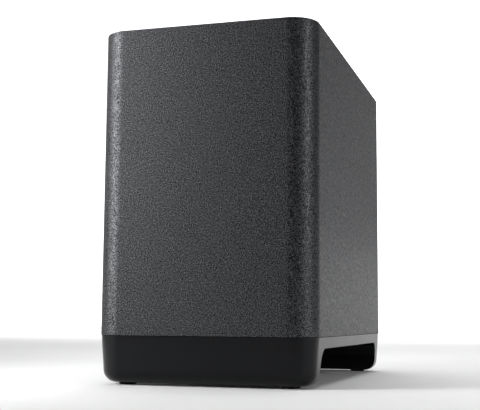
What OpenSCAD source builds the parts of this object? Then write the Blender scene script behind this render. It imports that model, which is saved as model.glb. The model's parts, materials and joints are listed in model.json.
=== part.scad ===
// Free-standing wireless subwoofer of a soundbar system.
// A tall box with rounded vertical edges stands on a moulded base with a tunnel through it.
// The woofer fires down into the tunnel. The port and the amplifier are at the back.
// Millimetres. Origin: centre of the footprint, on the floor. +Z up, front at -Y.

/* [Cabinet] */
// Overall width
cabinet_w = 208; // [200:1:240]
// Overall depth
cabinet_d = 380; // [360:1:420]
// Overall height, feet included
cabinet_top = 330; // [325:1:380]
// Radius of the four upright edges
corner_r = 25.5; // [24:0.5:34]
// Height of the joint line between base and cabinet
seam_z = 45; // [45:1:50]
// Thickness of the textured film on the outside
skin_t = 0.8; // [0.6:0.1:1.2]
// Rounding of the film along the top edge
top_edge_r = 1.2; // [1:0.1:3]
// Thickness of the walls, top board and brace
board_t = 12; // [10:1:12]
// Thickness of the bottom board that carries the woofer
baffle_t = 15; // [15:1:18]
// Height of the middle of the inner brace
brace_z = 193; // [190:1:196]

/* [Base] */
// How far the feet stand out below the base
foot_h = 2; // [1.5:0.5:4]
// Diameter of a foot
foot_d = 16.5; // [14:0.5:18]
// How far each foot's middle is from the side of the cabinet
foot_side = 26; // [24:1:30]
// How far the front feet's middle is from the front
foot_front = 25; // [24:1:28]
// How far the rear feet's middle is from the back
foot_rear = 24; // [24:1:28]
// Open height of the joint line
seam_gap = 0.8; // [0.5:0.1:1.5]
// How far the base stands back from the cabinet at the joint line
base_inset = 0.5; // [0.2:0.1:1]
// Inward draft of the base's sides, in degrees
base_draft = 4.3; // [1:0.1:5]
// Radius where the sides turn into the underside
base_fillet = 11.8; // [8:0.1:14]
// Wall of the base moulding
base_wall = 3; // [2.5:0.5:3.5]
// Depth of the front leg, from the cabinet's front to the tunnel
front_leg = 37; // [36:0.5:40]
// Depth of the rear leg
rear_leg = 38; // [36:0.5:44]
// Depth of the side band above the tunnel
tunnel_drop = 10.5; // [10:0.5:12]
// Radius of the tunnel's upper corners
tunnel_r = 16; // [10:1:17]
// Radius of the hole in the tunnel's ceiling
aperture_r = 89; // [88:0.5:90]

/* [Woofer] */
// Outer radius of the mounting flange
flange_r = 86; // [86:0.5:87]
// Radius of the circle of mounting screws
woofer_screw_r = 81; // [80:0.5:82]
// Number of mounting screws
woofer_screw_count = 8; // [4:1:8]
// Radius of the middle of the rubber roll
roll_mid_r = 65; // [64:0.5:66]
// Radius of the roll's own half circle
roll_r = 7; // [5:0.5:7]
// Inner radius of the voice coil former
coil_r = 18.6; // [18.5:0.05:18.7]
// Radius of the magnet
magnet_r = 60; // [55:1:64]
// Height of the magnet
magnet_h = 20; // [16:1:24]
// Travel of the cone each way
cone_travel = 6; // [3:1:6]

/* [Port] */
// Inner radius of the port
port_r = 27; // [25:0.5:28]
// Height of the port's axis
port_z = 255; // [255:1:258]
// Radius of the flare's flange
port_flange_r = 48; // [47:0.5:49]
// Length of the tube behind the flare
port_tube_l = 130; // [80:1:160]

/* [Amplifier] */
// Width of the amplifier's plate
plate_w = 156; // [150:1:160]
// Height of the plate
plate_h = 112; // [108:1:114]
// Thickness of the plate
plate_t = 2.2; // [2:0.1:2.4]
// Height of the middle of the plate
plate_z = 123; // [122:1:125]
// Depth of the sealed box behind the plate
enclosure_l = 62; // [55:1:70]
// Radius of the pairing button
button_r = 4; // [3:0.1:4]
// Travel of the pairing button
button_travel = 0.8; // [0.4:0.1:1]

/* [Hidden] */
$fn = 64;
corner_steps = 14;
edge_steps = 5;
fit = 0.05;
front_y = -cabinet_d / 2;
rear_y = cabinet_d / 2;
inner_inset = skin_t + board_t;
rim_z = seam_z - seam_gap;
shell_w = cabinet_w - 2 * inner_inset;
board_top = seam_z + baffle_t;
tunnel_top = seam_z - tunnel_drop;
tunnel_y0 = front_y + front_leg;
tunnel_y1 = rear_y - rear_leg;
foot_seat = 3;
foot_stem_r = 6;
foot_top = foot_h + foot_seat;
base_arc_z = foot_h + base_fillet;
base_arc_inset = base_inset + (rim_z - base_arc_z + base_fillet * sin(base_draft)) * tan(base_draft)
    + base_fillet * cos(base_draft);
screw_r = 1.9;
base_screw_spots = [for (x = [-84, 0, 84], y = [-120, 120]) [x, y]];
flange_t = 3;
rebate_h = 4;
cone_rim_z = seam_z;
neck_z = 67.4;
landing_z = 76.2;
spider_z = landing_z - 0.3;
basket_top = 86;
top_plate_t = 8;
yoke_z = basket_top + top_plate_t + magnet_h;
yoke_t = 8;
yoke_r = 56;
pole_r = 18;
flare_r = 12;
flange_y = rear_y - 3;
flare_body_r = port_r + flare_r + 3;
tube_wall = 2.5;
tube_y1 = rear_y - 15;
plate_y = rear_y - plate_t;
gasket_y = plate_y - 1;
cutout_w = plate_w - 16;
cutout_h = plate_h - 16;
enclosure_w = cutout_w - 4;
enclosure_h = cutout_h - 4;
enclosure_wall = 2;
enclosure_y = plate_y - enclosure_l;
plate_screw_spots = [[-72.5, -50.5], [72.5, -50.5], [-72.5, 50.5], [72.5, 50.5], [0, -52], [0, 52]];
standoff_l = 10;
pcb_t = 1.6;
pcb_back = plate_y - standoff_l;
pcb_front = pcb_back - pcb_t;
plunger_y = pcb_back + 2.2;
pcb_w = 124;
pcb_h = 80;
standoff_spots = [[-56, -34], [56, -34], [-56, 34], [56, 34]];
control_z = -26;
inlet_x = 38;
pin_pitch = 8.6;
pin_r = 1.2;
button_x = -4;
led_x = 10;
lead_r = 1.2;
grommet_x = -20;
grommet_z = -20;
// Middle of the two wires from the amplifier's connector to the woofer's tabs.
lead_path = [
    [-20, 168.2, 103], [-20, 155, 103], [-20, 140, 103], [-20, 127, 103], [-20, 116, 102],
    [-17, 106, 99], [-12, 96, 94], [-7, 87, 88], [-3, 79, 83.5], [0, 73, 81.5], [0, 67.1, 81]
];
// Half the distance between the two wires at each of those points.
lead_spread = [1.6, 1.6, 1.6, 1.6, 1.6, 1.6, 2, 3, 5, 7.4, 8];
film = [0.19, 0.19, 0.2];
black = [0.07, 0.07, 0.075];
mdf = [0.62, 0.5, 0.36];
steel = [0.62, 0.63, 0.65];
ferrite = [0.16, 0.16, 0.17];
rubber = [0.05, 0.05, 0.05];

// ---- shared shapes ----

// Points of an arc, both ends included.
function arc(cx, cy, r, a0, a1, n) =
    [for (i = [0:n]) let (a = a0 + (a1 - a0) * i / n) [cx + r * cos(a), cy + r * sin(a)]];

// Outline of a rectangle with round corners, centred.
function rounded_rect(w, d, r, n = corner_steps) = concat(
    arc(w / 2 - r, d / 2 - r, r, 0, 90, n),
    arc(r - w / 2, d / 2 - r, r, 90, 180, n),
    arc(r - w / 2, r - d / 2, r, 180, 270, n),
    arc(w / 2 - r, r - d / 2, r, 270, 360, n)
);

// The cabinet's plan outline, moved inwards, between two heights.
module outline_prism(inset, z0, z1) {
    translate([0, 0, z0])
        linear_extrude(z1 - z0)
            polygon(rounded_rect(cabinet_w - 2 * inset, cabinet_d - 2 * inset, corner_r - inset));
}

// A plate with round corners facing the back, between two depths.
module rear_block(w, h, r, y0, y1, x = 0, z = 0) {
    translate([x, y0, plate_z + z])
        rotate([-90, 0, 0])
            linear_extrude(y1 - y0)
                polygon(rounded_rect(w, h, r, 5));
}

// A round bar or hole along Y, placed from the middle of the amplifier's plate.
module rear_rod(r, y0, y1, x, z, r_end = undef) {
    translate([x, y0, plate_z + z])
        rotate([-90, 0, 0])
            cylinder(h = y1 - y0, r1 = r, r2 = is_undef(r_end) ? r : r_end);
}

// Turns a shape drawn around Z so that its height runs along Y on the port's axis.
module on_port_axis() {
    translate([0, 0, port_z])
        rotate([-90, 0, 0])
            children();
}

// Copies a child to the woofer's circle of screws.
module at_woofer_screws() {
    for (i = [0:woofer_screw_count - 1])
        rotate([0, 0, (i + 0.5) * 360 / woofer_screw_count])
            translate([woofer_screw_r, 0, 0])
                children();
}

// A cross recess, cut downwards from z = 0.
module cross_recess(size, depth) {
    for (a = [0, 90])
        rotate([0, 0, a])
            translate([-size / 2, -size / 8, -depth])
                cube([size, size / 4, 2 * depth]);
}

// A pan-head screw: the head's underside is at z = 0 and the shank points up.
module pan_screw(head_r, head_h, shank_r, shank_l) {
    difference() {
        union() {
            translate([0, 0, -head_h])
                cylinder(h = head_h / 2, r1 = head_r * 0.78, r2 = head_r);
            translate([0, 0, -head_h / 2])
                cylinder(h = head_h / 2, r = head_r);
            cylinder(h = shank_l, r = shank_r);
        }
        translate([0, 0, -head_h])
            cross_recess(head_r * 1.1, head_h * 0.5);
    }
}

// ---- cabinet ----

module textured_skin() {
    color(film)
        difference() {
            hull() {
                outline_prism(0, seam_z, cabinet_top - top_edge_r);
                for (i = [1:edge_steps])
                    outline_prism(
                        top_edge_r * (1 - cos(90 * i / edge_steps)),
                        cabinet_top - top_edge_r,
                        cabinet_top - top_edge_r * (1 - sin(90 * i / edge_steps))
                    );
            }
            outline_prism(skin_t, seam_z - 1, cabinet_top - skin_t);
            on_port_axis()
                cylinder(h = rear_y + 1, r = port_flange_r + 0.2);
            rear_block(plate_w + 0.4, plate_h + 0.4, 6.2, plate_y - 3, rear_y + 1);
        }
}

module cabinet_sleeve() {
    color(mdf)
        difference() {
            outline_prism(skin_t, seam_z, cabinet_top - skin_t);
            outline_prism(inner_inset, seam_z - 1, cabinet_top);
            on_port_axis() {
                cylinder(h = rear_y, r = flare_body_r + 0.5);
                translate([0, 0, flange_y])
                    cylinder(h = 10, r = port_flange_r + 0.2);
            }
            rear_block(cutout_w, cutout_h, 4, 0, rear_y);
            rear_block(plate_w + 0.4, plate_h + 0.4, 6.2, gasket_y, rear_y + 1);
            for (p = plate_screw_spots)
                rear_rod(1.5, gasket_y - 9, gasket_y + 1, p[0], p[1]);
        }
}

module top_board() {
    color(mdf)
        outline_prism(inner_inset, cabinet_top - inner_inset, cabinet_top - skin_t);
}

module bottom_board() {
    color(mdf)
        difference() {
            outline_prism(inner_inset, seam_z, board_top);
            translate([0, 0, seam_z - 1])
                cylinder(h = baffle_t + 2, r = flange_r - 9);
            translate([0, 0, seam_z - 1])
                cylinder(h = rebate_h + 1, r = flange_r + 0.5);
            for (p = base_screw_spots)
                translate([p[0], p[1], seam_z - 1])
                    cylinder(h = 13, r = screw_r + fit);
            at_woofer_screws()
                translate([0, 0, seam_z])
                    cylinder(h = 14, r = screw_r + fit);
        }
}

module inner_brace() {
    window_w = 120;
    window_d = 130;
    color(mdf)
        difference() {
            outline_prism(inner_inset, brace_z - board_t / 2, brace_z + board_t / 2);
            for (s = [-1, 1])
                translate([0, s * 88, brace_z - board_t])
                    linear_extrude(2 * board_t)
                        polygon(rounded_rect(window_w, window_d, 20, 6));
        }
}

module damping_wadding() {
    pad_t = 22;
    color([0.9, 0.9, 0.87])
        translate([0, front_y + inner_inset + pad_t / 2 + 0.3, board_top + 12])
            linear_extrude(100)
                polygon(rounded_rect(shell_w - 24, pad_t, 9, 6));
}

// ---- base ----

// The base's drafted and rounded outer form, moved inwards by a wall.
module base_form(wall, z_top) {
    steps = 7;
    r = base_fillet - wall;
    hull() {
        outline_prism(base_inset + wall, rim_z - 0.01, z_top);
        for (i = [0:steps]) {
            a = base_draft + (90 - base_draft) * i / steps;
            z = base_arc_z - r * sin(a);
            outline_prism(base_arc_inset - r * cos(a), z, z + 0.01);
        }
    }
}

// The tunnel that runs from side to side, widened by a wall.
module tunnel(wall) {
    r = tunnel_r + wall;
    y0 = tunnel_y0 - wall;
    y1 = tunnel_y1 + wall;
    z1 = tunnel_top + wall;
    translate([-cabinet_w, 0, 0])
        rotate([90, 0, 90])
            linear_extrude(2 * cabinet_w)
                polygon(concat(
                    [[y1, -10]],
                    arc(y1 - r, z1 - r, r, 0, 90, 10),
                    arc(y0 + r, z1 - r, r, 90, 180, 10),
                    [[y0, -10]]
                ));
}

// Runs its children at the four feet.
module at_feet() {
    x = cabinet_w / 2 - foot_side;
    for (p = [[-x, front_y + foot_front], [x, front_y + foot_front],
              [-x, rear_y - foot_rear], [x, rear_y - foot_rear]])
        translate([p[0], p[1], 0])
            children();
}

module base_plinth() {
    boss_r = 5;
    color(black)
        difference() {
            union() {
                difference() {
                    base_form(0, rim_z);
                    difference() {
                        base_form(base_wall, rim_z + 5);
                        tunnel(base_wall);
                        at_feet()
                            cylinder(h = foot_top + base_wall, r = foot_stem_r + 3);
                    }
                }
                for (p = base_screw_spots)
                    translate([p[0], p[1], tunnel_top + 1])
                        cylinder(h = tunnel_drop - 1, r = boss_r);
            }
            tunnel(0);
            translate([0, 0, tunnel_top - 1])
                cylinder(h = 30, r = aperture_r);
            at_feet()
                translate([0, 0, foot_h - 5])
                    cylinder(h = foot_seat + 5, r = foot_stem_r + 0.1);
            for (p = base_screw_spots)
                translate([p[0], p[1], 0])
                    cylinder(h = seam_z + 1, r = 2.2);
        }
}

module seam_gasket() {
    color(rubber)
        difference() {
            outline_prism(1.4, rim_z, seam_z);
            outline_prism(base_inset + base_wall, rim_z - 1, seam_z + 1);
        }
}

// A round pad with a stem that sits in the base's pocket.
module foot(x, y) {
    edge = 1.4;
    r = foot_d / 2;
    color(rubber)
        translate([x, y, 0])
            rotate_extrude()
                polygon(concat(
                    [[0, 0]],
                    arc(r - edge, edge, edge, -90, 0, 5),
                    [[r, foot_h], [foot_stem_r, foot_h], [foot_stem_r, foot_top], [0, foot_top]]
                ));
}

module foot_front_left() {
    foot(foot_side - cabinet_w / 2, front_y + foot_front);
}

module foot_front_right() {
    foot(cabinet_w / 2 - foot_side, front_y + foot_front);
}

module foot_rear_left() {
    foot(foot_side - cabinet_w / 2, rear_y - foot_rear);
}

module foot_rear_right() {
    foot(cabinet_w / 2 - foot_side, rear_y - foot_rear);
}

module base_screws() {
    color(steel)
        for (p = base_screw_spots)
            translate([p[0], p[1], tunnel_top])
                pan_screw(4, 2.4, screw_r, 20);
}

// ---- woofer ----

module woofer_basket() {
    window_count = 6;
    window_deg = 42;
    color(black)
        difference() {
            rotate_extrude()
                polygon([
                    [roll_mid_r + roll_r, seam_z], [flange_r, seam_z], [flange_r, seam_z + flange_t],
                    [76, seam_z + flange_t], [57.5, landing_z], [57.5, basket_top], [22, basket_top],
                    [22, basket_top - 3], [54.5, basket_top - 3], [54.5, landing_z + 2],
                    [50, landing_z + 2], [50, landing_z], [54.7, landing_z],
                    [roll_mid_r + roll_r, seam_z + 4.5]
                ]);
            for (i = [0:window_count - 1])
                rotate([0, 0, i * 360 / window_count - window_deg / 2])
                    rotate_extrude(angle = window_deg)
                        polygon([[52, 52], [80, 52], [80, 73], [52, 73]]);
            at_woofer_screws()
                cylinder(h = 60, r = 2.2);
        }
}

module woofer_gasket() {
    color([0.2, 0.2, 0.2])
        difference() {
            translate([0, 0, seam_z + flange_t])
                cylinder(h = rebate_h - flange_t, r = flange_r);
            cylinder(h = 60, r = 77);
            at_woofer_screws()
                cylinder(h = 60, r = 2.2);
        }
}

module woofer_screws() {
    color([0.12, 0.12, 0.12])
        at_woofer_screws()
            translate([0, 0, seam_z])
                pan_screw(3.8, 2.4, screw_r, 13);
}

module woofer_surround() {
    t = 1;
    z = seam_z - t / 2;
    color(rubber)
        rotate_extrude()
            polygon(concat(
                [[55, z - t / 2]],
                arc(roll_mid_r, z, roll_r + t / 2, 180, 360, 20),
                [[76.5, z - t / 2], [76.5, z + t / 2]],
                arc(roll_mid_r, z, roll_r - t / 2, 360, 180, 20),
                [[55, z + t / 2]]
            ));
}

module woofer_cone() {
    color([0.1, 0.1, 0.11])
        rotate_extrude()
            polygon([
                [58, cone_rim_z], [58, cone_rim_z + 0.9], [55.5, cone_rim_z + 0.9], [20, neck_z],
                [coil_r + 0.4 + fit, neck_z], [coil_r + 0.4 + fit, neck_z - 1],
                [19.6, neck_z - 1], [55, cone_rim_z]
            ]);
}

module dust_cap() {
    cap_r = 26;
    cap_h = 7;
    t = 0.6;
    sphere_r = (cap_r * cap_r + cap_h * cap_h) / (2 * cap_h);
    rim_height = 62;
    mid_z = rim_height + sqrt(sphere_r * sphere_r - cap_r * cap_r);
    half_angle = asin(cap_r / sphere_r);
    color(black)
        rotate_extrude()
            polygon(concat(
                arc(0, mid_z, sphere_r, 270, 270 + half_angle, 10),
                arc(0, mid_z, sphere_r - t, 270 + half_angle, 270, 10)
            ));
}

module voice_coil_former() {
    back_clearance = 7.6;
    former_l = yoke_z - neck_z + 1 - cone_travel - back_clearance;
    color([0.75, 0.6, 0.35])
        difference() {
            translate([0, 0, neck_z - 1])
                cylinder(h = former_l, r = coil_r + 0.4);
            cylinder(h = 120, r = coil_r);
        }
}

module voice_coil_winding() {
    winding_h = 16;
    color([0.72, 0.4, 0.2])
        difference() {
            translate([0, 0, basket_top + top_plate_t / 2 - winding_h / 2])
                cylinder(h = winding_h, r = coil_r + 1.4);
            cylinder(h = 120, r = coil_r + 0.4 + fit);
        }
}

module spider() {
    t = 0.6;
    steps = 60;
    r_in = coil_r + 0.4 + fit;
    r_wave0 = 23;
    r_wave1 = 49;
    waves = 5;
    height = 1.4;
    r_at = [for (i = [0:steps]) r_wave0 + (r_wave1 - r_wave0) * i / steps];
    wave = [for (r = r_at) [r, spider_z - height * sin(360 * waves * (r - r_wave0) / (r_wave1 - r_wave0))]];
    color([0.8, 0.66, 0.3])
        rotate_extrude()
            polygon(concat(
                [[r_in, spider_z - t / 2]],
                [for (p = wave) [p[0], p[1] - t / 2]],
                [[54.2, spider_z - t / 2], [54.2, spider_z + t / 2]],
                [for (i = [steps:-1:0]) [wave[i][0], wave[i][1] + t / 2]],
                [[r_in, spider_z + t / 2]]
            ));
}

module top_plate() {
    color(steel)
        translate([0, 0, basket_top])
            difference() {
                cylinder(h = top_plate_t, r = yoke_r - 1);
                translate([0, 0, -1])
                    cylinder(h = top_plate_t + 2, r = coil_r + 2.3);
            }
}

module magnet_ring() {
    color(ferrite)
        translate([0, 0, basket_top + top_plate_t])
            difference() {
                cylinder(h = magnet_h, r = magnet_r);
                translate([0, 0, -1])
                    cylinder(h = magnet_h + 2, r = magnet_r / 2);
            }
}

module t_yoke() {
    color(steel)
        difference() {
            union() {
                translate([0, 0, basket_top])
                    cylinder(h = yoke_z - basket_top + 1, r = pole_r);
                translate([0, 0, yoke_z])
                    cylinder(h = yoke_t, r = yoke_r);
            }
            translate([0, 0, basket_top - 1])
                cylinder(h = 60, r = 6);
        }
}

module terminal_strip() {
    color([0.35, 0.25, 0.15])
        translate([-14, 57.6, 77])
            cube([28, 2, 8]);
}

module terminal_tabs() {
    color([0.8, 0.7, 0.3])
        for (s = [-1, 1])
            translate([s * 8 - 3.15, 59.6, 80.6])
                cube([6.3, 7.4, 0.8]);
}

function unit(v) = v / norm(v);

// Sweeps a round tube through a list of points.
module swept_tube(path, r, sides = 8) {
    n = len(path);
    tangent = [for (i = [0:n - 1]) unit(path[min(i + 1, n - 1)] - path[max(i - 1, 0)])];
    side = [for (t = tangent) unit(cross(t, [0, 0, 1]))];
    points = [
        for (i = [0:n - 1], k = [0:sides - 1])
            path[i] + r * (cos(360 * k / sides) * side[i]
                + sin(360 * k / sides) * cross(side[i], tangent[i]))
    ];
    walls = [
        for (i = [0:n - 2], k = [0:sides - 1])
            [i * sides + k, i * sides + (k + 1) % sides,
             (i + 1) * sides + (k + 1) % sides, (i + 1) * sides + k]
    ];
    polyhedron(points, concat(
        [[for (k = [sides - 1:-1:0]) k]],
        walls,
        [[for (k = [0:sides - 1]) (n - 1) * sides + k]]
    ));
}

module woofer_leads() {
    color([0.6, 0.1, 0.1])
        for (s = [-1, 1])
            swept_tube([
                for (i = [0:len(lead_path) - 1]) lead_path[i] + [s * lead_spread[i], 0, 0]
            ], lead_r);
}

// ---- port ----

module port_tube() {
    color(black)
        on_port_axis()
            difference() {
                translate([0, 0, tube_y1 - port_tube_l])
                    cylinder(h = port_tube_l, r = port_r + tube_wall);
                cylinder(h = 400, r = port_r);
            }
}

module port_flare() {
    socket_r = port_r + tube_wall + fit;
    color(black)
        on_port_axis()
            rotate_extrude()
                polygon(concat(
                    [[port_r, tube_y1]],
                    arc(port_r + flare_r, rear_y - flare_r, flare_r, 180, 90, 12),
                    [
                        [port_flange_r, rear_y], [port_flange_r, flange_y], [flare_body_r, flange_y],
                        [flare_body_r, flange_y - 3], [socket_r + 3, tube_y1 - 1],
                        [socket_r + 3, tube_y1 - 15], [socket_r, tube_y1 - 15], [socket_r, tube_y1]
                    ]
                ));
}

// ---- amplifier ----

module amp_plate() {
    color([0.13, 0.13, 0.14])
        difference() {
            rear_block(plate_w, plate_h, 6, plate_y, rear_y);
            for (p = plate_screw_spots)
                rear_rod(1.9, plate_y - 0.01, rear_y + 0.01, p[0], p[1], 4);
            rear_rod(button_r + 0.1, plate_y - 1, rear_y + 1, button_x, control_z);
            rear_rod(1.6, plate_y - 1, rear_y + 1, led_x, control_z);
            rear_block(20.2, 11.2, 2.6, plate_y - 1, rear_y + 1, inlet_x, control_z);
        }
}

module plate_screws() {
    color([0.2, 0.2, 0.2])
        for (p = plate_screw_spots)
            difference() {
                union() {
                    rear_rod(1.75, plate_y, rear_y - 0.05, p[0], p[1], 3.8);
                    rear_rod(1.45, plate_y - 9, plate_y + 1, p[0], p[1]);
                }
                translate([p[0], rear_y - 0.05, plate_z + p[1]])
                    rotate([-90, 0, 0])
                        cross_recess(4, 1);
            }
}

module amp_gasket() {
    color(rubber)
        difference() {
            rear_block(plate_w, plate_h, 6, gasket_y, plate_y);
            rear_block(cutout_w + 1, cutout_h + 1, 4, gasket_y - 1, plate_y + 1);
            for (p = plate_screw_spots)
                rear_rod(1.9, gasket_y - 1, plate_y + 1, p[0], p[1]);
        }
}

module amp_enclosure() {
    color([0.15, 0.15, 0.16])
        difference() {
            rear_block(enclosure_w, enclosure_h, 4, enclosure_y, plate_y);
            rear_block(enclosure_w - 2 * enclosure_wall, enclosure_h - 2 * enclosure_wall, 2,
                enclosure_y + enclosure_wall, plate_y + 1);
            rear_rod(5, enclosure_y - 1, enclosure_y + 4, grommet_x, grommet_z);
        }
}

module cable_grommet() {
    bore = 3.2;
    color(rubber)
        translate([grommet_x, enclosure_y, plate_z + grommet_z])
            rotate([-90, 0, 0])
                rotate_extrude()
                    polygon([
                        [bore, -1.5], [7, -1.5], [7, 0], [5, 0], [5, enclosure_wall],
                        [7, enclosure_wall], [7, enclosure_wall + 1.5], [bore, enclosure_wall + 1.5]
                    ]);
}

module main_pcb() {
    color([0.05, 0.28, 0.12])
        difference() {
            rear_block(pcb_w, pcb_h, 2, pcb_front, pcb_back);
            for (p = standoff_spots)
                rear_rod(1.6, pcb_front - 1, pcb_back + 1, p[0], p[1]);
            for (s = [-1, 1])
                rear_rod(pin_r + fit, pcb_front - 1, pcb_back + 1, inlet_x + s * pin_pitch / 2, control_z);
        }
}

module pcb_standoffs() {
    color([0.75, 0.62, 0.3])
        for (p = standoff_spots)
            difference() {
                rear_rod(2.5, pcb_back, plate_y, p[0], p[1]);
                rear_rod(1.45, pcb_back - 1, plate_y - 1.5, p[0], p[1]);
            }
}

module pcb_screws() {
    color(steel)
        for (p = standoff_spots)
            translate([p[0], pcb_front, plate_z + p[1]])
                rotate([-90, 0, 0])
                    pan_screw(2.8, 2, 1.4, 8);
}

module heatsink() {
    fins = 7;
    base_t = 4;
    w = 44;
    h = 34;
    fin_l = 26;
    x0 = -58;
    z0 = plate_z - 4;
    color([0.7, 0.7, 0.72])
        union() {
            translate([x0, pcb_front - base_t, z0])
                cube([w, base_t, h]);
            for (i = [0:fins - 1])
                translate([x0 + i * (w - 2) / (fins - 1), pcb_front - base_t - fin_l, z0])
                    cube([2, fin_l + 1, h]);
        }
}

module transformer() {
    color([0.75, 0.65, 0.2])
        translate([16, pcb_front, plate_z - 18]) {
            translate([-13, -4, -12])
                cube([26, 4, 24]);
            translate([-10, -20, -9])
                cube([20, 16, 18]);
            translate([-13, -24, -12])
                cube([26, 4, 24]);
        }
}

module filter_capacitors() {
    color([0.1, 0.12, 0.3])
        for (p = [[46, 24], [27, 24], [48, 4]])
            rear_rod(9, pcb_front - 28, pcb_front, p[0], p[1]);
}

module output_inductors() {
    color([0.6, 0.35, 0.2])
        for (p = [[4, 22], [28, 5]])
            translate([p[0], pcb_front - 3.1, plate_z + p[1]])
                rotate([-90, 0, 0])
                    rotate_extrude()
                        translate([6.5, 0])
                            circle(r = 3, $fn = 24);
}

module speaker_connector() {
    color([0.85, 0.85, 0.8])
        translate([grommet_x - 6, pcb_front - 8, plate_z + grommet_z - 5])
            cube([12, 8, 10]);
}

module wireless_module() {
    color([0.05, 0.1, 0.3])
        rear_block(24, 16, 1, pcb_back, pcb_back + 1, -40, control_z);
}

module shield_can() {
    color(steel)
        rear_block(15, 12, 0.8, pcb_back + 1, pcb_back + 3.2, -42, control_z);
}

module inlet_socket() {
    color(black)
        difference() {
            union() {
                rear_block(26, 16, 2, pcb_back, plate_y, inlet_x, control_z);
                rear_block(20, 11, 2.5, plate_y - 1, rear_y, inlet_x, control_z);
            }
            for (s = [-1, 1])
                rear_rod(3.9, pcb_back + 2, rear_y + 1, inlet_x + s * pin_pitch / 2, control_z);
            rear_block(pin_pitch, 6.6, 0.5, pcb_back + 2, rear_y + 1, inlet_x, control_z);
            for (s = [-1, 1])
                rear_rod(pin_r + fit, pcb_back - 1, pcb_back + 3, inlet_x + s * pin_pitch / 2, control_z);
        }
}

module inlet_pins() {
    color(steel)
        for (s = [-1, 1]) {
            rear_rod(pin_r, pcb_front - 1.5, rear_y - 2.5, inlet_x + s * pin_pitch / 2, control_z);
            rear_rod(pin_r, rear_y - 2.5, rear_y - 1.8, inlet_x + s * pin_pitch / 2, control_z, 0.6);
        }
}

module sync_button() {
    color(rubber)
        union() {
            rear_rod(button_r, plate_y - 0.5, rear_y - 0.6, button_x, control_z);
            rear_rod(button_r, rear_y - 0.6, rear_y - 0.2, button_x, control_z, button_r - 0.4);
            rear_rod(button_r + 1.5, plate_y - 1.6, plate_y - fit, button_x, control_z);
            rear_rod(2, plate_y - 3.5, plate_y - 1.5, button_x, control_z);
        }
}

module button_switch() {
    color([0.1, 0.1, 0.1])
        difference() {
            rear_block(6, 6, 0.6, pcb_back, pcb_back + 3.5, button_x, control_z);
            rear_rod(1.8, plunger_y - button_travel - 0.2, pcb_back + 4, button_x, control_z);
        }
}

module switch_plunger() {
    color([0.5, 0.5, 0.5])
        rear_rod(1.75, plunger_y, plate_y - 3.5, button_x, control_z);
}

module status_led() {
    color([0.9, 0.95, 1])
        union() {
            rear_block(4, 4, 0.5, pcb_back, pcb_back + 1.2, led_x, control_z);
            rear_rod(1.4, pcb_back + 1, pcb_back + 3, led_x, control_z, 1);
        }
}

module light_pipe() {
    color([0.9, 0.9, 0.9, 0.5])
        union() {
            rear_rod(1.55, pcb_back + 3.2, rear_y - 0.2, led_x, control_z);
            rear_rod(2.6, plate_y - 1.5, plate_y - fit, led_x, control_z);
        }
}

textured_skin();
cabinet_sleeve();
top_board();
bottom_board();
inner_brace();
damping_wadding();
seam_gasket();
base_plinth();
foot_front_left();
foot_front_right();
foot_rear_left();
foot_rear_right();
base_screws();
woofer_basket();
woofer_gasket();
woofer_screws();
woofer_surround();
woofer_cone();
dust_cap();
voice_coil_former();
voice_coil_winding();
spider();
top_plate();
magnet_ring();
t_yoke();
terminal_strip();
terminal_tabs();
woofer_leads();
port_tube();
port_flare();
amp_plate();
plate_screws();
amp_gasket();
amp_enclosure();
cable_grommet();
main_pcb();
pcb_standoffs();
pcb_screws();
heatsink();
transformer();
filter_capacitors();
output_inductors();
speaker_connector();
wireless_module();
shield_can();
inlet_socket();
inlet_pins();
sync_button();
button_switch();
switch_plunger();
status_led();
light_pipe();
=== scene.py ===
"""Looks of a soundbar's free-standing subwoofer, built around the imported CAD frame.

Metres. The front is at -Y, the back with the port and the amplifier at +Y, and the floor at z = 0.
"""

import json
import math

import bmesh
import bpy
from mathutils import Matrix, Vector, noise


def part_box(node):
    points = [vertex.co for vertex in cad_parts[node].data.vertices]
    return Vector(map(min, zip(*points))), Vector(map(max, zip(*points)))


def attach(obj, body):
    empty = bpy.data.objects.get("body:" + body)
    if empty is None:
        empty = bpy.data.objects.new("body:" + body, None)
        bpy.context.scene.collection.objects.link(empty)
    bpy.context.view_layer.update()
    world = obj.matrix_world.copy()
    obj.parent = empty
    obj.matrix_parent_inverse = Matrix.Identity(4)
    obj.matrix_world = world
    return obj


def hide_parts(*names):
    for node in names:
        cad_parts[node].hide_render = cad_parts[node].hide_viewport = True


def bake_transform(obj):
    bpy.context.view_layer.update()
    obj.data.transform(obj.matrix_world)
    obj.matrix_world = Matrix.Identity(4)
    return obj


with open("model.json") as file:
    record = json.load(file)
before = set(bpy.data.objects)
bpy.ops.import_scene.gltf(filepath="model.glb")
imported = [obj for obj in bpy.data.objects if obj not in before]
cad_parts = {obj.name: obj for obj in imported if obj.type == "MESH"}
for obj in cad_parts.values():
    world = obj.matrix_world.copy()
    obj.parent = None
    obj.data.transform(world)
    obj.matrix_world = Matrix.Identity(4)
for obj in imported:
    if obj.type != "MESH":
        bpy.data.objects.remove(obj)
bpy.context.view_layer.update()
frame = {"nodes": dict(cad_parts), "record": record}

MM = 0.001
nodes = frame["nodes"]

# ---- driving sizes, from the frame where it has them ----

skin_low, skin_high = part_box("textured_skin")
sleeve_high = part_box("cabinet_sleeve")[1]
plinth_low, plinth_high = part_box("base_plinth")
foot_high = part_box("foot_front_left")[1]
flare_low, flare_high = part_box("port_flare")
plate_low, plate_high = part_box("amp_plate")
screws_low, screws_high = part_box("base_screws")
surround_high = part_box("woofer_surround")[1]
spider_low, spider_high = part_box("spider")

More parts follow.
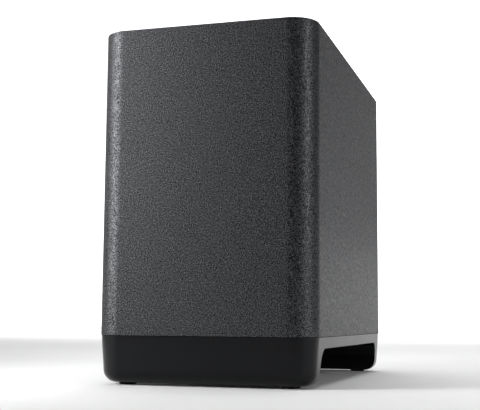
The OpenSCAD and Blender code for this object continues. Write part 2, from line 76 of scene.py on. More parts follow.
WIDTH = skin_high.x - skin_low.x
DEPTH = skin_high.y - skin_low.y
SEAM_Z = skin_low.z
TOP_Z = skin_high.z
FILM_T = skin_high.z - sleeve_high.z
CORNER_R = 25.5 * MM
TOP_EDGE_R = 1.2 * MM
HEM_R = 0.35 * MM
RIM_Z = plinth_high.z
BASE_INSET = skin_high.x - plinth_high.x
BASE_FILLET = 11.8 * MM
BASE_DRAFT = math.radians(4.3)
BASE_WALL = 3 * MM
FRONT_LEG = 37 * MM
REAR_LEG = 38 * MM
TUNNEL_R = 16 * MM
FOOT_STEM_R = 6 * MM
APERTURE_R = 89 * MM
SCREW_HOLE_R = 2.2 * MM
SCREW_HEAD_R = 4 * MM
SCREW_HEAD_H = 2.4 * MM
SCREW_BOSS_R = 5 * MM
TUNNEL_ROOF_Z = screws_low.z + SCREW_HEAD_H
PLATE_CORNER_R = 6 * MM
CUT_GAP = 0.2 * MM
RIM_LIP = 0.4 * MM
BASE_EDGE_R = 0.7 * MM


# ---- meshes ----


def arc(cx, cy, r, a0, a1, steps):
    """Points of an arc from a0 to a1 degrees, both ends included."""
    turns = [math.radians(a0 + (a1 - a0) * i / steps) for i in range(steps + 1)]
    return [(cx + r * math.cos(a), cy + r * math.sin(a)) for a in turns]


def rounded_rect(w, d, r, steps=24):
    """Outline of a centred rectangle with round corners, anticlockwise."""
    x, y = w / 2 - r, d / 2 - r
    return (
        arc(x, y, r, 0, 90, steps)
        + arc(-x, y, r, 90, 180, steps)
        + arc(-x, -y, r, 180, 270, steps)
        + arc(x, -y, r, 270, 360, steps)
    )


def mesh_piece(name, points, faces, sharp_deg=30):
    """A smooth-shaded mesh object whose edges above sharp_deg stay sharp."""
    mesh = bpy.data.meshes.new(name)
    mesh.from_pydata([tuple(p) for p in points], [], faces)
    mesh.update()
    piece = bpy.data.objects.new(name, mesh)
    bpy.context.scene.collection.objects.link(piece)
    shade(piece, sharp_deg)
    return piece


def shade(piece, sharp_deg=30):
    piece.data.shade_smooth()
    piece.data.set_sharp_from_angle(angle=math.radians(sharp_deg))


def loft(name, rings, sharp_deg=30):
    """A closed solid through rings with equal numbers of points, capped at both ends."""
    n = len(rings[0])
    points = [p for ring in rings for p in ring]
    faces = []
    for i in range(len(rings) - 1):
        for k in range(n):
            a, b = i * n + k, i * n + (k + 1) % n
            faces.append((a, b, b + n, a + n))
    faces.append(tuple(reversed(range(n))))
    faces.append(tuple(range((len(rings) - 1) * n, len(rings) * n)))
    return mesh_piece(name, points, faces, sharp_deg)


def plan_ring(inset, z, steps=24):
    """The cabinet's plan outline, moved inwards by inset, at height z."""
    outline = rounded_rect(WIDTH - 2 * inset, DEPTH - 2 * inset, CORNER_R - inset, steps)
    return [(x, y, z) for x, y in outline]


def prism(name, outline, to_world, low, high):
    """An outline extruded from low to high; to_world turns (u, v, height) into a point."""
    rings = [[to_world(u, v, h) for u, v in outline] for h in (low, high)]
    return loft(name, rings)


def rod(name, centre, axis, r, low, high, sides=96):
    """A round bar along world axis 'X', 'Y' or 'Z' through centre."""
    cx, cy, cz = centre
    place = {
        "X": lambda u, v, h: (h, cy + u, cz + v),
        "Y": lambda u, v, h: (cx + v, h, cz + u),
        "Z": lambda u, v, h: (cx + u, cy + v, h),
    }[axis]
    outline = arc(0, 0, r, 0, 360 * (1 - 1 / sides), sides - 1)
    return prism(name, outline, place, low, high)


def revolve(name, profile, segments=128, sharp_deg=30):
    """A closed (radius, height) profile turned round the Z axis."""
    n = len(profile)
    points = []
    for s in range(segments):
        c, t = math.cos(2 * math.pi * s / segments), math.sin(2 * math.pi * s / segments)
        points += [(r * c, r * t, z) for r, z in profile]
    faces = []
    for s in range(segments):
        nxt = (s + 1) % segments
        for k in range(n):
            j = (k + 1) % n
            faces.append((s * n + k, nxt * n + k, nxt * n + j, s * n + j))
    return mesh_piece(name, points, faces, sharp_deg)


def apply_modifier(piece, modifier):
    bpy.context.view_layer.objects.active = piece
    bpy.ops.object.modifier_apply(modifier=modifier.name)


def combine(piece, tool, operation):
    """Boolean of piece with tool, which is used up."""
    modifier = piece.modifiers.new("combine", "BOOLEAN")
    modifier.operation = operation
    modifier.solver = "EXACT"
    modifier.object = tool
    apply_modifier(piece, modifier)
    bpy.data.objects.remove(tool)


def soften(piece, width, segments=2, limit_deg=40, apply=False):
    """Rounds a piece's sharp edges. On a CAD node it stays a modifier, so its mesh is untouched."""
    weld = piece.modifiers.new("weld", "WELD")
    weld.merge_threshold = 1e-6
    bevel = piece.modifiers.new("bevel", "BEVEL")
    bevel.width = width
    bevel.segments = segments
    bevel.limit_method = "ANGLE"
    bevel.angle_limit = math.radians(limit_deg)
    bevel.harden_normals = False
    bevel.use_clamp_overlap = True
    if apply:
        apply_modifier(piece, weld)
        apply_modifier(piece, bevel)


def even_normals(piece):
    """Large flat faces keep flat shading up to their rounded edges."""
    normals = piece.modifiers.new("normals", "WEIGHTED_NORMAL")
    normals.keep_sharp = True


# ---- material nodes ----


def new_material(
    name, color, roughness, metallic=0.0, specular=0.5, coat=0.0, tint=(1, 1, 1), clear=None
):
    """A Principled material with its constants set on the shader's own sockets."""
    material = bpy.data.materials.new(name)
    material.use_nodes = True
    shader = material.node_tree.nodes["Principled BSDF"]
    shader.inputs["Base Color"].default_value = (*color, 1)
    shader.inputs["Roughness"].default_value = roughness
    shader.inputs["Metallic"].default_value = metallic
    shader.inputs["Specular IOR Level"].default_value = specular
    shader.inputs["Coat Weight"].default_value = coat
    shader.inputs["Specular Tint"].default_value = (*tint, 1)
    if clear is not None:
        shader.inputs["Transmission Weight"].default_value = clear
    material.diffuse_color = (*color, 1)
    return material, material.node_tree, shader


def texture(tree, kind, scale, stretch=(1, 1, 1), **settings):
    """A texture node on object coordinates, in metres, optionally stretched."""
    place = tree.nodes.new("ShaderNodeTexCoord")
    mapping = tree.nodes.new("ShaderNodeMapping")
    mapping.inputs["Scale"].default_value = stretch
    node = tree.nodes.new(kind)
    tree.links.new(place.outputs["Object"], mapping.inputs["Vector"])
    tree.links.new(mapping.outputs["Vector"], node.inputs["Vector"])
    node.inputs["Scale"].default_value = scale
    for key, value in settings.items():
        if key in node.inputs:
            node.inputs[key].default_value = value
        else:
            setattr(node, key, value)
    return node


def ramp(tree, source, stops):
    """A colour ramp through (position, colour) stops."""
    node = tree.nodes.new("ShaderNodeValToRGB")
    elements = node.color_ramp.elements
    while len(elements) < len(stops):
        elements.new(0.5)
    for element, (position, color) in zip(elements, stops):
        element.position = position
        element.color = (*color, 1)
    tree.links.new(source, node.inputs["Fac"])
    return node.outputs["Color"]


def remap(tree, source, low, high):
    """A 0..1 value moved to low..high."""
    node = tree.nodes.new("ShaderNodeMapRange")
    node.inputs["To Min"].default_value = low
    node.inputs["To Max"].default_value = high
    tree.links.new(source, node.inputs["Value"])
    return node.outputs["Result"]


def bump(tree, shader, sources):
    """Stacks bumps of (height output, strength, distance in metres) on the shader's normal."""
    normal = None
    for height, strength, distance in sources:
        node = tree.nodes.new("ShaderNodeBump")
        node.inputs["Strength"].default_value = strength
        node.inputs["Distance"].default_value = distance
        tree.links.new(height, node.inputs["Height"])
        if normal is not None:
            tree.links.new(normal, node.inputs["Normal"])
        normal = node.outputs["Normal"]
    tree.links.new(normal, shader.inputs["Normal"])


def shades(color, factor):
    """The same colour, darker or lighter."""
    return tuple(min(1.0, c * factor) for c in color)


def mottled(name, color, roughness, grain=700, contrast=0.25, depth=0.05 * MM, spread=0.06, **kind):
    """Moulded, cast or painted stuff: fine grain in colour, roughness and surface."""
    material, tree, shader = new_material(name, color, roughness, **kind)
    fine = texture(tree, "ShaderNodeTexNoise", grain, Detail=3.0, Roughness=0.6)
    broad = texture(tree, "ShaderNodeTexNoise", 18, Detail=2.0, Roughness=0.5)
    tint = ramp(
        tree,
        fine.outputs["Fac"],
        [(0.3, shades(color, 1 - contrast)), (0.7, shades(color, 1 + contrast))],
    )
    tree.links.new(tint, shader.inputs["Base Color"])
    rough = remap(tree, broad.outputs["Fac"], roughness - spread, roughness + spread)
    tree.links.new(rough, shader.inputs["Roughness"])
    bump(tree, shader, [(fine.outputs["Fac"], 0.5, depth)])
    return material


# tint of the sheen on the wrap and the base
COOL = (0.92, 0.95, 1.0)


def textured_film():
    """Dark wrap with a fine pebbled grain. Its colour and specular level follow the grain's height:
    the raised grains are painted paler as a painted highlight and the pits near black as painted
    shade, and the specular level is painted low in the pits as painted shade on the reflections, so
    the raised grains look glossier.
    """
    # colours of the painted highlight on the raised grains and of the painted shade in the pits
    light, dark = (0.055, 0.055, 0.058), (0.001, 0.001, 0.0011)
    material, tree, shader = new_material("textured_film", (0.012, 0.012, 0.013), 0.45, tint=COOL)
    pebble = texture(tree, "ShaderNodeTexNoise", 1000, Detail=2.0, Roughness=0.6, Distortion=0.3)
    grit = texture(tree, "ShaderNodeTexNoise", 1500, Detail=1.0)
    speckle = texture(tree, "ShaderNodeTexNoise", 300, Detail=1.0)
    # painted highlight and painted shade: the raised grains are painted paler, the pits near black
    tint = ramp(
        tree,
        pebble.outputs["Fac"],
        [(0.34, dark), (0.5, (0.004, 0.004, 0.0043)), (0.66, light)],
    )
    tree.links.new(tint, shader.inputs["Base Color"])
    # painted shade on the reflections: the specular level is painted low in the pits
    gloss_with_painted_pit_shade = ramp(tree, pebble.outputs["Fac"], [(0.36, (0.05, 0.05, 0.05)), (0.62, (1.0, 1.0, 1.0))])
    tree.links.new(gloss_with_painted_pit_shade, shader.inputs["Specular IOR Level"])
    tree.links.new(remap(tree, speckle.outputs["Fac"], 0.24, 0.72), shader.inputs["Roughness"])
    bump(
        tree,
        shader,
        [(pebble.outputs["Fac"], 0.45, 0.2 * MM), (grit.outputs["Fac"], 0.3, 0.1 * MM)],
    )
    return material


def brushed(name, color, roughness, stretch=(1, 1, 40), **kind):
    """Turned, ground or plated metal with fine scratches along one direction."""
    material, tree, shader = new_material(name, color, roughness, metallic=1.0, **kind)
    scratch = texture(tree, "ShaderNodeTexNoise", 260, stretch=stretch, Detail=4.0, Roughness=0.7)
    tint = ramp(
        tree,
        scratch.outputs["Fac"],
        [(0.25, shades(color, 0.82)), (0.75, shades(color, 1.12))],
    )
    tree.links.new(tint, shader.inputs["Base Color"])
    rough = remap(tree, scratch.outputs["Fac"], roughness - 0.08, roughness + 0.1)
    tree.links.new(rough, shader.inputs["Roughness"])
    bump(tree, shader, [(scratch.outputs["Fac"], 0.25, 0.02 * MM)])
    return material


def fibres(name, color, roughness, scale=420, contrast=0.35, depth=0.2 * MM):
    """Paper, board and wadding: matted fibres."""
    material, tree, shader = new_material(name, color, roughness, specular=0.25)
    long = texture(tree, "ShaderNodeTexNoise", scale, stretch=(1, 1, 0.25), Detail=5.0, Distortion=1.2)
    cells = texture(tree, "ShaderNodeTexVoronoi", scale * 0.7)
    tint = ramp(
        tree,
        long.outputs["Fac"],
        [(0.3, shades(color, 1 - contrast)), (0.72, shades(color, 1 + contrast))],
    )
    tree.links.new(tint, shader.inputs["Base Color"])
    bump(
        tree,
        shader,
        [(long.outputs["Fac"], 0.5, depth), (cells.outputs["Distance"], 0.3, depth)],
    )
    return material


def woven(name, color, thread=0.6 * MM):
    """Plain-woven treated cloth, with painted shade in the gaps between the threads and a painted
    highlight on their raised crossings.
    """
    material, tree, shader = new_material(name, color, 0.7, specular=0.3)
    bands = [
        texture(tree, "ShaderNodeTexWave", 1 / (6 * thread), bands_direction=direction, Distortion=0.3)
        for direction in ("X", "Y")
    ]
    weave = tree.nodes.new("ShaderNodeMath")
    weave.operation = "MULTIPLY"
    for i, band in enumerate(bands):
        tree.links.new(band.outputs["Fac"], weave.inputs[i])
    # painted shade and painted highlight: darker in the gaps between the threads, paler on the raised
    # crossings
    tint = ramp(tree, weave.outputs["Value"], [(0.0, shades(color, 0.55)), (0.8, shades(color, 1.15))])
    tree.links.new(tint, shader.inputs["Base Color"])
    bump(tree, shader, [(weave.outputs["Value"], 0.7, 0.15 * MM)])
    return material


def windings(name, color, pitch, direction="Z"):
    """Close-wound enamelled wire, with painted shade in the grooves between the turns."""
    material, tree, shader = new_material(name, color, 0.3, metallic=0.9, coat=0.3)
    turns = texture(tree, "ShaderNodeTexWave", 1 / (6.283 * pitch), bands_direction=direction)
    # painted shade: the grooves between the turns are painted darker
    tint = ramp(tree, turns.outputs["Fac"], [(0.0, shades(color, 0.35)), (0.7, color)])
    tree.links.new(tint, shader.inputs["Base Color"])
    bump(tree, shader, [(turns.outputs["Fac"], 0.8, 0.1 * MM)])
    return material


MATERIALS = {
    "textured_film": textured_film(),
    "fibreboard": fibres("fibreboard", (0.36, 0.25, 0.15), 0.75, scale=900, contrast=0.22),
    "wadding": fibres("wadding", (0.74, 0.74, 0.70), 0.95, scale=160, depth=1.5 * MM),
    "foam": mottled("foam", (0.012, 0.012, 0.012), 0.9, grain=1800, depth=0.1 * MM, specular=0.15),
    "base_moulding": mottled(
        "base_moulding", (0.0015, 0.0015, 0.0016), 0.23, grain=2600, contrast=0.12,
        depth=0.004 * MM, spread=0.02, specular=0.21, tint=COOL,
    ),
    "foot_rubber": mottled("foot_rubber", (0.007, 0.007, 0.007), 0.75, depth=0.04 * MM, specular=0.2),
    "zinc_steel": brushed("zinc_steel", (0.50, 0.51, 0.54), 0.32),
    "black_screw": mottled("black_screw", (0.02, 0.02, 0.021), 0.38, metallic=0.7, depth=0.02 * MM),
    "basket_paint": mottled("basket_paint", (0.018, 0.018, 0.019), 0.5, depth=0.05 * MM),
    "surround_rubber": mottled(
        "surround_rubber", (0.011, 0.011, 0.0115), 0.46, grain=1300, contrast=0.1, depth=0.01 * MM
    ),
    "cone_paper": fibres("cone_paper", (0.026, 0.026, 0.028), 0.72, scale=520),
    "cap_paper": fibres("cap_paper", (0.016, 0.016, 0.017), 0.55, scale=760, depth=0.08 * MM),
    "polyimide": mottled("polyimide", (0.42, 0.20, 0.05), 0.28, contrast=0.08, coat=0.3),
    "copper_wire": windings("copper_wire", (0.62, 0.27, 0.12), 0.4 * MM),
    "spider_cloth": woven("spider_cloth", (0.52, 0.35, 0.12)),
    "plated_steel": brushed("plated_steel", (0.52, 0.52, 0.50), 0.3),
    "ferrite": mottled("ferrite", (0.03, 0.03, 0.032), 0.55, grain=1200, contrast=0.3),
    "terminal_board": fibres("terminal_board", (0.12, 0.055, 0.02), 0.5, scale=700),
    "brass_tab": brushed("brass_tab", (0.68, 0.50, 0.20), 0.26),
    "lead_insulation": mottled("lead_insulation", (0.30, 0.015, 0.015), 0.42, contrast=0.06),
    "port_plastic": mottled(
        "port_plastic", (0.012, 0.012, 0.0125), 0.42, grain=2200, contrast=0.12, depth=0.015 * MM
    ),
    "plate_paint": mottled(
        "plate_paint", (0.016, 0.016, 0.017), 0.52, grain=1500, contrast=0.3, depth=0.08 * MM
    ),
    "enclosure_plastic": mottled("enclosure_plastic", (0.02, 0.02, 0.021), 0.5),
    "board_mask": mottled("board_mask", (0.006, 0.075, 0.022), 0.28, contrast=0.15, coat=0.4),
    "board_brass": brushed("board_brass", (0.62, 0.46, 0.18), 0.25),
    "bare_aluminium": brushed("bare_aluminium", (0.76, 0.76, 0.78), 0.34, stretch=(1, 1, 0.05)),
    "transformer_tape": mottled("transformer_tape", (0.52, 0.36, 0.03), 0.25, contrast=0.06, coat=0.3),
    "capacitor_sleeve": mottled("capacitor_sleeve", (0.006, 0.012, 0.07), 0.22, contrast=0.08),
    "inductor_wire": windings("inductor_wire", (0.55, 0.22, 0.09), 0.8 * MM, "X"),
    "connector_plastic": mottled("connector_plastic", (0.72, 0.70, 0.62), 0.45, contrast=0.05),
    "module_mask": mottled("module_mask", (0.006, 0.02, 0.12), 0.28, contrast=0.1, coat=0.4),
    "shield_steel": brushed("shield_steel", (0.62, 0.63, 0.64), 0.24),
    "inlet_plastic": mottled("inlet_plastic", (0.011, 0.011, 0.0115), 0.38, contrast=0.1),
    "pin_nickel": brushed("pin_nickel", (0.66, 0.65, 0.62), 0.18),
    "button_rubber": mottled("button_rubber", (0.02, 0.02, 0.0205), 0.6, depth=0.03 * MM),
    "switch_plastic": mottled("switch_plastic", (0.012, 0.012, 0.012), 0.45),
    "plunger_plastic": mottled("plunger_plastic", (0.28, 0.28, 0.28), 0.4, contrast=0.06),
    "led_lens": mottled("led_lens", (0.85, 0.88, 0.95), 0.12, contrast=0.03, clear=0.5),
    "clear_plastic": mottled("clear_plastic", (0.86, 0.87, 0.88), 0.15, contrast=0.03, clear=0.6),
}


def finish_with(piece, slot):
    """Gives a piece one material."""
    piece.data.materials.clear()
    piece.data.materials.append(MATERIALS[slot])


# ---- CAD nodes that are shown as they are ----


def dress_cad_nodes():
    """Every CAD node gets its slot's material and smooth shading; the nodes listed in softened also
    get softened edges.
    """
    softened = {
        "port_flare": 0.5 * MM,
        "amp_plate": 0.4 * MM,
        "inlet_socket": 0.25 * MM,
        "sync_button": 0.2 * MM,
        "heatsink": 0.2 * MM,
        "speaker_connector": 0.4 * MM,
        "terminal_strip": 0.3 * MM,
        "transformer": 0.5 * MM,
        "amp_enclosure": 0.6 * MM,
    }
    for row in frame["record"]["subparts"]:
        node = nodes[row["node"]]
        node.data.materials.clear()
        node.data.materials.append(MATERIALS[row["material_slot"]])
        if row["node"] in softened:
            soften(node, softened[row["node"]])
        else:
            weld = node.modifiers.new("weld", "WELD")
            weld.merge_threshold = 1e-6
        smooth = node.modifiers.new("smooth", "NODES")
        smooth.node_group = smooth_by_angle()
        even_normals(node)


def smooth_by_angle(limit_deg=32):
    """A geometry-node group that shades smooth except across sharp edges."""
    name = "shade_by_angle"
    if name in bpy.data.node_groups:
        return bpy.data.node_groups[name]
    group = bpy.data.node_groups.new(name, "GeometryNodeTree")
    group.interface.new_socket("Geometry", in_out="INPUT", socket_type="NodeSocketGeometry")
    group.interface.new_socket("Geometry", in_out="OUTPUT", socket_type="NodeSocketGeometry")
    add = group.nodes.new
    start, end = add("NodeGroupInput"), add("NodeGroupOutput")
    angle, below = add("GeometryNodeInputMeshEdgeAngle"), add("FunctionNodeCompare")
    below.operation = "LESS_EQUAL"
    below.inputs["B"].default_value = math.radians(limit_deg)
    faces, edges = add("GeometryNodeSetShadeSmooth"), add("GeometryNodeSetShadeSmooth")
    edges.domain = "EDGE"
    link = group.links.new
    link(start.outputs[0], faces.inputs["Geometry"])
    link(faces.outputs[0], edges.inputs["Geometry"])
    link(angle.outputs["Unsigned Angle"], below.inputs["A"])
    link(below.outputs[0], edges.inputs["Shade Smooth"])
    link(edges.outputs[0], end.inputs[0])
    return group


# ---- cabinet ----


def make_skin():
    """The wrap: rolled lower hem, rounded top edge, openings for the port and the amplifier."""
    rings = [plan_ring(FILM_T, TOP_Z - FILM_T), plan_ring(FILM_T, SEAM_Z)]
    for i in range(5):
        a = math.pi / 2 * i / 4
        rings.append(plan_ring(HEM_R * (1 - math.sin(a)), SEAM_Z + HEM_R * (1 - math.cos(a))))
    for i in range(7):
        a = math.pi / 2 * i / 6
        inset, z = TOP_EDGE_R * (1 - math.cos(a)), TOP_Z - TOP_EDGE_R * (1 - math.sin(a))
        rings.append(plan_ring(inset, z))
    skin = loft("skin_wrap", rings)
    port = (flare_low + flare_high) / 2
    port_r = (flare_high.z - flare_low.z) / 2 + CUT_GAP
    hole = rod("port_hole", port, "Y", port_r, sleeve_high.y - 20 * MM, skin_high.y + 20 * MM)
    combine(skin, hole, "DIFFERENCE")
    plate = (plate_low + plate_high) / 2
    w = plate_high.x - plate_low.x + 2 * CUT_GAP
    h = plate_high.z - plate_low.z + 2 * CUT_GAP
    window = prism(
        "plate_hole",
        rounded_rect(h, w, PLATE_CORNER_R + CUT_GAP, 10),
        lambda u, v, t: (plate.x + v, t, plate.z + u),
        sleeve_high.y - 20 * MM,
        skin_high.y + 20 * MM,
    )
    combine(skin, window, "DIFFERENCE")
    shade(skin)
    even_normals(skin)
    finish_with(skin, "textured_film")
    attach(skin, "cabinet")
    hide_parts("textured_skin")


# ---- base ----


def base_rings(wall, top):
    """Rings of the base's form: drafted side, rounded into a flat underside."""
    centre_z = plinth_low.z + BASE_FILLET
    side = (RIM_Z - centre_z + BASE_FILLET * math.sin(BASE_DRAFT)) * math.tan(BASE_DRAFT)
    centre_inset = BASE_INSET + side + BASE_FILLET * math.cos(BASE_DRAFT)
    r = BASE_FILLET - wall
    rings = []
    steps = 14
    for i in range(steps + 1):
        a = math.pi / 2 - (math.pi / 2 - BASE_DRAFT) * i / steps
        rings.append(plan_ring(centre_inset - r * math.cos(a), centre_z - r * math.sin(a)))
    lip = RIM_LIP if wall == 0 else 0
    if lip:
        rings.append(plan_ring(BASE_INSET, top - lip))
    rings.append(plan_ring(BASE_INSET + wall + lip, top))
    return rings


def tunnel_prism(name, wall, half_length):
    """The side-to-side tunnel's form, widened by a wall."""
    front = skin_low.y + FRONT_LEG - wall
    back = skin_high.y - REAR_LEG + wall
    roof = TUNNEL_ROOF_Z + wall
    r = TUNNEL_R + wall
    outline = [(back, -0.02)]
    outline += arc(back - r, roof - r, r, 0, 90, 14)
    outline += arc(front + r, roof - r, r, 90, 180, 14)
    outline += [(front, -0.02)]
    return prism(name, outline, lambda u, v, h: (h, u, v), -half_length, half_length)


def make_plinth():
    """The base moulding: walls, hollow legs, tunnel, woofer opening, foot pockets and screw bosses."""
    foot_spots = [(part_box(n)[0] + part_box(n)[1]) / 2 for n in nodes if n.startswith("foot_")]
    x = screws_high.x - SCREW_HEAD_R
    y = screws_high.y - SCREW_HEAD_R
    screw_spots = [(sx * x, sy * y) for sx in (-1, 0, 1) for sy in (-1, 1)]
    body = loft("base_moulding", base_rings(0, RIM_Z))
    hollow = loft("hollow", base_rings(BASE_WALL, RIM_Z + 5 * MM))
    combine(hollow, tunnel_prism("tunnel_shell", BASE_WALL, WIDTH), "DIFFERENCE")
    for spot in foot_spots:
        boss = rod("boss", spot, "Z", FOOT_STEM_R + 3 * MM, 0, foot_high.z + BASE_WALL, 64)
        combine(hollow, boss, "DIFFERENCE")
    combine(body, hollow, "DIFFERENCE")
    roof = TUNNEL_ROOF_Z
    for sx, sy in screw_spots:
        boss = rod("boss", (sx, sy, 0), "Z", SCREW_BOSS_R, roof + 1 * MM, SEAM_Z, 48)
        combine(body, boss, "UNION")
    combine(body, tunnel_prism("tunnel", 0, WIDTH), "DIFFERENCE")
    aperture = rod("aperture", (0, 0, 0), "Z", APERTURE_R, roof - 1 * MM, roof + 9 * MM, 160)
    combine(body, aperture, "DIFFERENCE")
    for spot in foot_spots:
        pocket = rod("pocket", spot, "Z", FOOT_STEM_R + 0.1 * MM, -5 * MM, foot_high.z, 64)
        combine(body, pocket, "DIFFERENCE")
    for sx, sy in screw_spots:
        hole = rod("hole", (sx, sy, 0), "Z", SCREW_HOLE_R, 0, SEAM_Z + 1 * MM, 32)
        combine(body, hole, "DIFFERENCE")
    soften(body, BASE_EDGE_R, segments=3, apply=True)
    shade(body, 35)
    even_normals(body)
    finish_with(body, "base_moulding")
    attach(body, "cabinet")
    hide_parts("base_plinth")


# ---- damping pad ----


def make_wadding():
    """Crowned pad of wadding, flatter against the cabinet's front wall, with a lumpy face."""
    low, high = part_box("damping_wadding")
    centre, half = (low + high) / 2, (high - low) / 2
    columns, rows, pull, lump = 56, 36, 0.05, 0.09
    points, faces = [], []
    for side in (-1, 1):
        start = len(points)
        for j in range(rows + 1):
            v = 2 * j / rows - 1
            for i in range(columns + 1):
                u = 2 * i / columns - 1
                crown = ((1 - u**8) * (1 - v**8)) ** 0.35
                wave = noise.noise(Vector((6 * u, 4 * v, 2 * side)))
                thick = crown * (0.88 + lump * wave) if side > 0 else min(0.9, 1.1 * crown)
                x = half.x * 0.98 * u * (1 - pull * (1 - v**4) * abs(u) ** 3)
                z = half.z * 0.98 * v * (1 - pull * (1 - u**4) * abs(v) ** 3)
                points.append(centre + Vector((x, side * half.y * thick, z)))
        for j in range(rows):
            for i in range(columns):
                a = start + j * (columns + 1) + i
                face = (a, a + 1, a + columns + 2, a + columns + 1)
                faces.append(face if side < 0 else face[::-1])
    piece = mesh_piece("wadding_pad", points, faces, sharp_deg=80)
    shape = bmesh.new()
    shape.from_mesh(piece.data)
    bmesh.ops.remove_doubles(shape, verts=shape.verts, dist=1e-5)
    shape.to_mesh(piece.data)
    shape.free()
    finish_with(piece, "wadding")
    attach(piece, "cabinet")
    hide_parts("damping_wadding")


# ---- woofer's soft parts ----


def follow_radially(piece):
    """Bakes the piece's placement into its mesh."""
    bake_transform(piece)


def make_surround():
    """Half-roll rubber surround with a flat lip on each side."""
    t = 1 * MM
    z = surround_high.z - t / 2
    mid_r, roll_r = 65 * MM, 7 * MM
    outer_r = 76.5 * MM
    inner_r = 55 * MM
    profile = [(inner_r + 0.3 * MM, z - t / 2)]
    profile += arc(mid_r, z, roll_r + t / 2, 180, 360, 28)
    profile += [(outer_r, z - t / 2), (outer_r, z + t / 2)]
    profile += arc(mid_r, z, roll_r - t / 2, 360, 180, 28)
    profile += [(inner_r, z + t / 2), (inner_r, z)]
    piece = revolve("surround_roll", profile, 160, sharp_deg=50)
    finish_with(piece, "surround_rubber")
    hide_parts("woofer_surround")
    follow_radially(piece)


def make_spider():
    """Corrugated centring disc."""
    t = 0.6 * MM
    z = (spider_low.z + spider_high.z) / 2
    r_in, wave0, wave1, r_out = 19.05 * MM, 23 * MM, 49 * MM, 54.2 * MM
    steps, waves, height = 90, 5, 1.4 * MM
    line = [(r_in, z)]
    for i in range(steps + 1):
        share = i / steps
        r = wave0 + (wave1 - wave0) * share
        line.append((r, z - height * math.sin(2 * math.pi * waves * share)))
    line.append((r_out, z))
    profile = [(r, h - t / 2) for r, h in line] + [(r, h + t / 2) for r, h in reversed(line)]
    piece = revolve("spider_disc", profile, 120, sharp_deg=60)
    finish_with(piece, "spider_cloth")
    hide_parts("spider")
    follow_radially(piece)


# ---- studio ----


def make_camera():
    """The photograph's viewpoint: low, to the right of the front, looking slightly up."""
    yaw, pitch, roll = math.radians(16.885), math.radians(6.747), math.radians(0.427)
    forward = Vector(
        (-math.sin(yaw) * math.cos(pitch), math.cos(yaw) * math.cos(pitch), math.sin(pitch))
    )
    right = Vector((math.cos(yaw), math.sin(yaw), 0))
    up = right.cross(forward)
    x_axis = right * math.cos(roll) + up * math.sin(roll)
    y_axis = up * math.cos(roll) - right * math.sin(roll)
    turn = Matrix((x_axis, y_axis, -forward)).transposed()
    data = bpy.data.cameras.new("camera")
    data.sensor_width = 36
    data.lens = 73.01
    camera = bpy.data.objects.new("camera", data)
    camera.matrix_world = Matrix.Translation((0.2864, -1.0120, 0.0594)) @ turn.to_4x4()
    bpy.context.scene.collection.objects.link(camera)
    bpy.context.scene.camera = camera


def soft_light(name, place, aim, size, power):
    """A rectangular soft light facing its aim point."""
    data = bpy.data.lights.new(name, "AREA")
    data.shape = "RECTANGLE"
    data.size, data.size_y = size
    data.energy = power
    data.spread = math.radians(LIGHT_SPREAD_DEG)
    light = bpy.data.objects.new(name, data)
    light.location = place
    light.rotation_euler = (Vector(aim) - Vector(place)).to_track_quat("-Z", "Y").to_euler()
    bpy.context.scene.collection.objects.link(light)


def see_from_above(material):
    """The floor shows on its upper side only, so the object can be looked at from below."""
    tree = material.node_tree
    output = tree.nodes["Material Output"]
    side, clear, mix = (
        tree.nodes.new("ShaderNode" + kind) for kind in ("NewGeometry", "BsdfTransparent", "MixShader")
    )
    tree.links.new(side.outputs["Backfacing"], mix.inputs[0])
    tree.links.new(output.inputs["Surface"].links[0].from_socket, mix.inputs[1])
    tree.links.new(clear.outputs[0], mix.inputs[2])
    tree.links.new(mix.outputs[0], output.inputs["Surface"])


LIGHT_SPREAD_DEG = 100
BACKDROP_Y = 6.0
FLOOR_HALF = 9.0

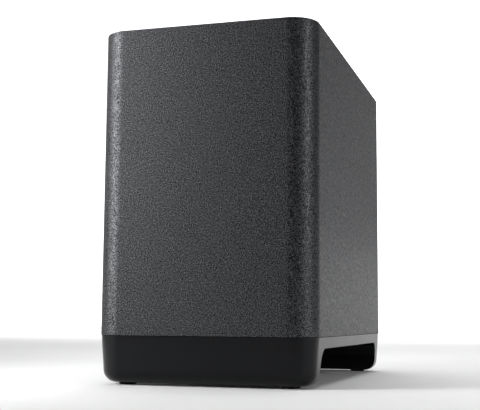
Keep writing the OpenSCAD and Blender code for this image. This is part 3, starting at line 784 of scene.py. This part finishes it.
# name, place, aim, size (m) and power (W) of each soft light
LIGHTS = [
    ("left_wall", (-0.85, -0.3, 0.6), (0.0, -0.3, 0.3), (1.8, 1.2), 0.9),
    ("left_panel", (-0.50, -0.50, 0.42), (-0.08, -0.15, 0.25), (0.35, 0.7), 2.7),
    ("right_box", (1.30, -0.42, 0.5), (0.1, -0.1, 0.2), (0.5, 1.2), 2.7),
    ("floor_light", (-0.6, 3.9, 2.8), (-0.6, 3.9, 0.0), (5.0, 4.0), 125),
    ("top_light", (0.0, 0.3, 1.6), (0.0, 0.3, 0.0), (1.2, 1.0), 6),
]

# name, x range, z range (m) and brightness of each card of the backdrop, 6 m behind
BACKDROPS = [
    ("backdrop_left", -8.0, 0.0, 0.0, 7.0, 0.95),
    ("backdrop_low", 0.0, 8.0, 0.0, 0.6, 0.9),
    ("backdrop_high", 0.0, 8.0, 0.8, 7.0, 0.05),
]


def make_studio():
    """Pale floor, white backdrop far behind, and soft lights that leave the room in front dim."""
    scene = bpy.context.scene
    scene.view_settings.view_transform = "Standard"
    world = bpy.data.worlds.new("studio")
    scene.world = world
    world.use_nodes = True
    world.node_tree.nodes["Background"].inputs["Color"].default_value = (0.9, 0.95, 1, 1)
    world.node_tree.nodes["Background"].inputs["Strength"].default_value = 0.03
    edge = FLOOR_HALF
    corners = [(-edge, -edge, 0), (edge, -edge, 0), (edge, edge, 0), (-edge, edge, 0)]
    floor = mesh_piece("floor", corners, [(0, 1, 2, 3)])
    floor.data.materials.append(
        mottled(
            "floor_paint", (0.86, 0.86, 0.86), 0.8, grain=40, contrast=0.01, depth=0.01 * MM,
            specular=0.2,
        )
    )
    see_from_above(floor.data.materials[0])
    for name, x0, x1, z0, z1, strength in BACKDROPS:
        corners = [(x, BACKDROP_Y, z) for x, z in ((x0, z0), (x1, z0), (x1, z1), (x0, z1))]
        card = mesh_piece(name, corners, [(0, 1, 2, 3)])
        paper, _, shader = new_material(name + "_paper", (1, 1, 1), 0.9)
        shader.inputs["Emission Color"].default_value = (1, 1, 1, 1)
        shader.inputs["Emission Strength"].default_value = strength
        card.data.materials.append(paper)
    for name, place, aim, size, power in LIGHTS:
        soft_light(name, place, aim, size, power)


dress_cad_nodes()
make_skin()
make_plinth()
make_wadding()
make_surround()
make_spider()
make_camera()
make_studio()
